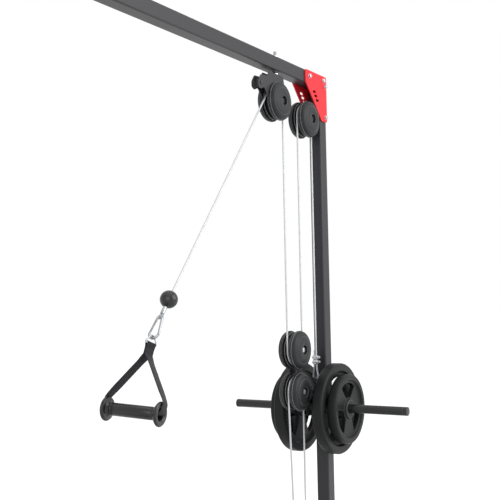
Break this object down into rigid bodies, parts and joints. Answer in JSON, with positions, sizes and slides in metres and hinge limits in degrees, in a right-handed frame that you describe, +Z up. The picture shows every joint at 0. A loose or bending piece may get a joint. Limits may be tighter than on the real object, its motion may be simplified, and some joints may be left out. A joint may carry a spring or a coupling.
{
  "type": "multi gym",
  "caption": "Plate loaded cable station: a square tube frame carries a weight carriage, a floating pulley block, a swivelling top pulley and a pull handle on a snap hook.",
  "frame": {"origin": "on the floor, straight below the axis of the main upright", "axes": "+Z up, -Y along the beam to the side where the user stands, +X along the plate bar"},
  "size_m": [0.9, 2.1285, 2.1243],
  "materials": {
    "graphite_powder_coat": "satin graphite powder coat",
    "red_powder_coat": "satin red powder coat",
    "zinc_steel": "bright zinc plating",
    "black_plastic": "moulded black plastic",
    "plate_iron": "matt black coating",
    "black_rubber": "matt",
    "coated_cable": "steel cable in a clear grey sheath",
    "black_webbing": "woven nylon"
  },
  "bodies": {
    "frame": {"main_upright": "graphite_powder_coat", "end_post": "graphite_powder_coat", "top_beam": "graphite_powder_coat", "main_foot": "graphite_powder_coat", "end_foot": "graphite_powder_coat", "gusset_left": "red_powder_coat", "gusset_right": "red_powder_coat", "corner_bolt_1": "zinc_steel", "corner_bolt_2": "zinc_steel", "corner_bolt_3": "zinc_steel", "corner_bolt_4": "zinc_steel", "rear_pulley_bracket": "graphite_powder_coat", "low_pulley_bracket": "graphite_powder_coat", "rear_cover_left": "black_plastic", "rear_cover_right": "black_plastic", "rear_axle": "zinc_steel", "low_axle": "zinc_steel", "swivel_bolt": "zinc_steel", "rear_cable_wrap": "coated_cable", "block_upper_cable": "coated_cable", "lower_cable": "coated_cable", "carriage_strand": "coated_cable", "carriage_buffer": "black_rubber"},
    "rear_wheel": {"rear_wheel": "black_plastic"},
    "low_wheel": {"low_wheel": "black_plastic"},
    "swivel": {"swivel_yoke": "graphite_powder_coat", "front_cover_left": "black_plastic", "front_cover_right": "black_plastic", "front_axle": "zinc_steel", "front_cable_wrap": "coated_cable"},
    "front_wheel": {"front_wheel": "black_plastic"},
    "guide_roller": {"guide_roller": "black_rubber"},
    "upper_line": {"handle_strand": "coated_cable"},
    "handle_end": {"ball_stop": "black_plastic", "cable_end_eye": "zinc_steel"},
    "hook": {"carabiner": "zinc_steel"},
    "hook_gate": {"carabiner_gate": "zinc_steel"},
    "handle": {"handle_ring": "zinc_steel", "handle_strap": "black_webbing"},
    "grip": {"grip_core": "black_plastic", "grip_sleeve": "black_rubber"},
    "block": {"block_frame": "graphite_powder_coat", "block_upper_cover_left": "black_plastic", "block_upper_cover_right": "black_plastic", "block_lower_cover_left": "black_plastic", "block_lower_cover_right": "black_plastic", "block_upper_axle": "zinc_steel", "block_lower_axle": "zinc_steel"},
    "block_upper_wheel": {"block_upper_wheel": "black_plastic"},
    "block_lower_wheel": {"block_lower_wheel": "black_plastic"},
    "carriage": {"carriage_frame": "graphite_powder_coat", "slide_liner": "black_plastic", "upper_cable_clip": "zinc_steel", "lower_cable_clip": "zinc_steel", "carriage_cable_loop": "coated_cable"},
    "right_plates": {"large_plate_right": "plate_iron", "small_plate_right": "plate_iron"},
    "left_plates": {"large_plate_left": "plate_iron", "small_plate_left": "plate_iron"},
    "low_end": {"low_cable_stop": "black_plastic"}
  },
  "joints": [
    {"name": "carriage_slide", "type": "slide", "parent": "frame", "child": "carriage", "axis": [0, 0, 1], "range_m": [-0.709, 0.65], "deforming": ["carriage_strand"]},
    {"name": "block_slide", "type": "slide", "parent": "frame", "child": "block", "axis": [0, 0, 1], "range_m": [-0.325, 0], "deforming": ["block_upper_cable", "lower_cable"]},
    {"name": "low_pull", "type": "slide", "parent": "frame", "child": "low_end", "axis": [0, -1, 0], "range_m": [0, 0.65]},
    {"name": "swivel_turn", "type": "hinge", "parent": "frame", "child": "swivel", "pos_m": [0, -0.288, 2.055], "axis": [0, 0, 1], "range_deg": [-60, 60]},
    {"name": "cable_swing", "type": "hinge", "parent": "swivel", "child": "upper_line", "pos_m": [0, -0.295, 1.958], "axis": [1, 0, 0], "range_deg": [-33, 39], "deforming": ["front_cable_wrap"]},
    {"name": "handle_pull", "type": "slide", "parent": "upper_line", "child": "handle_end", "axis": [0, -0.6293, -0.7771], "range_m": [-0.709, 0.65], "deforming": ["handle_strand"]},
    {"name": "hook_swing", "type": "hinge", "parent": "handle_end", "child": "hook", "pos_m": [0, -0.90588, 1.28251], "axis": [1, 0, 0], "range_deg": [-40, 40]},
    {"name": "gate_opening", "type": "hinge", "parent": "hook", "child": "hook_gate", "pos_m": [-0.00878, -0.9117, 1.27353], "axis": [0, -0.8387, 0.5446], "range_deg": [0, 15], "stiffness_Nm_per_rad": 0.05, "springref_deg": -5.73},
    {"name": "handle_swing", "type": "hinge", "parent": "hook", "child": "handle", "pos_m": [0, -0.94117, 1.22816], "axis": [1, 0, 0], "range_deg": [-45, 45]},
    {"name": "grip_spin", "type": "hinge", "parent": "handle", "child": "grip", "pos_m": [0, -1.01922, 1.05285], "axis": [0.9873, 0.1453, -0.0647], "continuous": true},
    {"name": "rear_wheel_spin", "type": "hinge", "parent": "frame", "child": "rear_wheel", "pos_m": [0, -0.099, 1.933], "axis": [1, 0, 0], "continuous": true},
    {"name": "low_wheel_spin", "type": "hinge", "parent": "frame", "child": "low_wheel", "pos_m": [0, -0.25, 0.12], "axis": [1, 0, 0], "continuous": true},
    {"name": "front_wheel_spin", "type": "hinge", "parent": "swivel", "child": "front_wheel", "pos_m": [0, -0.295, 1.958], "axis": [1, 0, 0], "continuous": true},
    {"name": "guide_roller_spin", "type": "hinge", "parent": "swivel", "child": "guide_roller", "pos_m": [0, -0.399, 1.999], "axis": [1, 0, 0], "continuous": true},
    {"name": "block_upper_wheel_spin", "type": "hinge", "parent": "block", "child": "block_upper_wheel", "pos_m": [0, -0.197, 1.159], "axis": [1, 0, 0], "continuous": true},
    {"name": "block_lower_wheel_spin", "type": "hinge", "parent": "block", "child": "block_lower_wheel", "pos_m": [0, -0.197, 1.0235], "axis": [1, 0, 0], "continuous": true},
    {"name": "right_plates_slide", "type": "slide", "parent": "carriage", "child": "right_plates", "axis": [1, 0, 0], "range_m": [0, 0.19]},
    {"name": "left_plates_slide", "type": "slide", "parent": "carriage", "child": "left_plates", "axis": [-1, 0, 0], "range_m": [0, 0.19]}
  ],
  "couplings": [
    {"joint": "handle_pull", "follows": "carriage_slide", "ratio": 1},
    {"joint": "low_pull", "follows": "block_slide", "ratio": -2}
  ]
}
